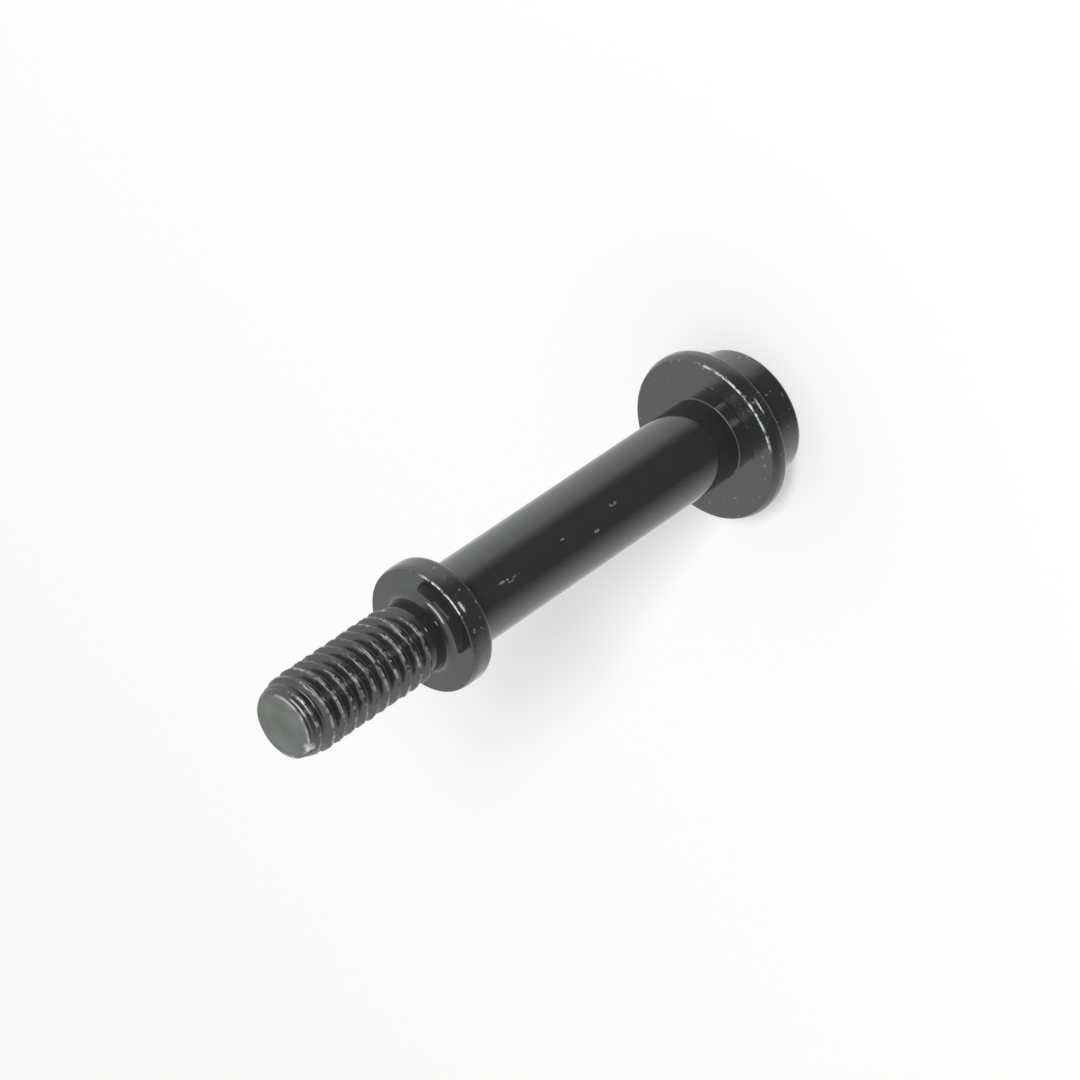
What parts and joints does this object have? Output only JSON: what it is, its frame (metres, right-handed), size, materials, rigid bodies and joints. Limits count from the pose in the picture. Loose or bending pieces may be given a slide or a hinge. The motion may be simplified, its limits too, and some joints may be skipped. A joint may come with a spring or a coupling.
{
  "type": "shoulder bolt",
  "caption": "Black steel shoulder bolt with a flanged round socket head, a long plain shank, a collar and a threaded end, for pinning a part between flange and collar.",
  "frame": {"origin": "centre of the head's flat outer face, which the bolt stands on", "axes": "+Z along the bolt's axis from the head to the threaded end, +X through a corner of the hexagon socket"},
  "size_m": [0.0175, 0.0174, 0.0646],
  "materials": {
    "black_steel": "glossy black finish on turned steel, worn bright along the thread crests and rims"
  },
  "bodies": {
    "root": {"shoulder_bolt": "black_steel"}
  },
  "joints": []
}
